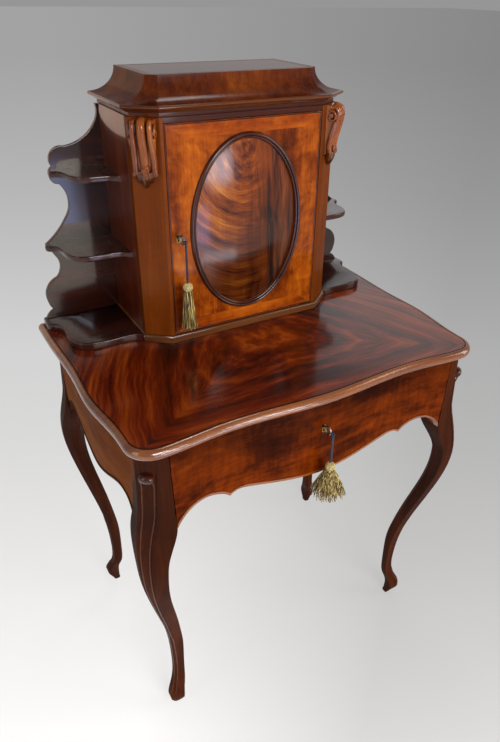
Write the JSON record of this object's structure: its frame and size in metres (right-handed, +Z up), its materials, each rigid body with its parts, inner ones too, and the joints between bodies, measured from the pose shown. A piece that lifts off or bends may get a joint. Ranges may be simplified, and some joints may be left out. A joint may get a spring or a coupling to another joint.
{
  "type": "bonheur du jour writing table",
  "caption": "Lady's writing table on cabriole legs with a shaped drawer and a cupboard between tiered open shelves, with tasselled keys.",
  "frame": {"origin": "middle of the footprint, on the floor", "axes": "+Z up, -Y towards the sitter at the drawer, +X to the sitter's right-hand side as seen from the front"},
  "size_m": [0.73, 0.5423, 1.19],
  "materials": {
    "mahogany": "french polished, dark red brown",
    "mahogany_flame": "french polished figured veneer",
    "mahogany_dark": "french polished, nearly black brown",
    "drawer_lining_wood": "waxed, plain",
    "carcase_wood": "unpolished",
    "brass": "dulled polish",
    "steel": "worn bright",
    "silk_cord": "twisted dark blue silk",
    "silk_tassel": "old gold silk strands"
  },
  "bodies": {
    "case": {"desk_top": "mahogany", "top_edge_moulding": "mahogany", "leg_front_left": "mahogany", "leg_front_right": "mahogany", "leg_back_left": "mahogany", "leg_back_right": "mahogany", "side_apron_left": "mahogany", "side_apron_right": "mahogany", "side_beads": "mahogany", "back_rail": "carcase_wood", "top_front_rail": "carcase_wood", "drawer_bearer_rail": "carcase_wood", "drawer_runners": "carcase_wood", "drawer_kickers": "carcase_wood", "base_board": "mahogany", "cupboard_side_left": "mahogany", "cupboard_side_right": "mahogany", "corner_post_left": "mahogany_flame", "corner_post_right": "mahogany_flame", "door_head_rail": "mahogany", "cupboard_top": "mahogany", "cupboard_back": "carcase_wood", "inner_shelf": "carcase_wood", "cornice_lip": "mahogany", "cornice_cove": "mahogany", "cornice_top": "mahogany", "shelf_middle_left": "mahogany_dark", "shelf_middle_right": "mahogany_dark", "shelf_upper_left": "mahogany_dark", "shelf_upper_right": "mahogany_dark", "wing_left": "mahogany_dark", "wing_right": "mahogany_dark", "scroll_bracket_left": "mahogany", "scroll_bracket_right": "mahogany", "pivots_case": "brass"},
    "drawer": {"drawer_front": "mahogany_flame", "drawer_bead": "mahogany", "drawer_side_left": "drawer_lining_wood", "drawer_side_right": "drawer_lining_wood", "drawer_back": "drawer_lining_wood", "drawer_bottom": "drawer_lining_wood", "drawer_lock_case": "brass", "drawer_keyhole_lining": "brass"},
    "drawer_bolt": {"drawer_lock_bolt": "steel"},
    "drawer_key": {"drawer_key": "steel"},
    "drawer_tassel": {"drawer_key_cord": "silk_cord", "drawer_key_tassel": "silk_tassel"},
    "door": {"door_stile_lock": "mahogany_flame", "door_stile_hinge": "mahogany_flame", "door_rails": "mahogany_flame", "door_field": "mahogany_flame", "oval_panel": "mahogany_flame", "oval_moulding": "mahogany_dark", "door_lock_case": "brass", "door_keyhole_lining": "brass", "pivots_door": "brass"},
    "door_bolt": {"door_lock_bolt": "steel"},
    "door_key": {"door_key": "steel"},
    "door_tassel": {"door_key_cord": "silk_cord", "door_key_tassel": "silk_tassel"}
  },
  "joints": [
    {"name": "drawer_slide", "type": "slide", "parent": "case", "child": "drawer", "axis": [0, -1, 0], "range_m": [0, 0.28]},
    {"name": "drawer_key_turn", "type": "hinge", "parent": "drawer", "child": "drawer_key", "pos_m": [-0.004, -0.2281, 0.66], "axis": [0, 1, 0], "range_deg": [0, 180]},
    {"name": "drawer_bolt_throw", "type": "slide", "parent": "drawer", "child": "drawer_bolt", "axis": [0, 0, 1], "range_m": [0, 0.006]},
    {"name": "drawer_tassel_swing", "type": "hinge", "parent": "drawer", "child": "drawer_tassel", "pos_m": [-0.004, -0.2554, 0.66], "axis": [0, 1, 0], "range_deg": [-25, 25]},
    {"name": "door_swing", "type": "hinge", "parent": "case", "child": "door", "pos_m": [0.149, 0.0591, 0.745], "axis": [0, 0, 1], "range_deg": [0, 110]},
    {"name": "door_key_turn", "type": "hinge", "parent": "door", "child": "door_key", "pos_m": [-0.138, 0.0564, 0.9345], "axis": [0, 1, 0], "range_deg": [0, 180]},
    {"name": "door_bolt_throw", "type": "slide", "parent": "door", "child": "door_bolt", "axis": [-1, 0, 0], "range_m": [0, 0.006]},
    {"name": "door_tassel_swing", "type": "hinge", "parent": "door", "child": "door_tassel", "pos_m": [-0.138, 0.0241, 0.9345], "axis": [0, 1, 0], "range_deg": [-35, 35]}
  ],
  "couplings": [
    {"joint": "drawer_bolt_throw", "follows": "drawer_key_turn", "m_per_rad": 0.0019098},
    {"joint": "door_bolt_throw", "follows": "door_key_turn", "m_per_rad": 0.0019098}
  ]
}
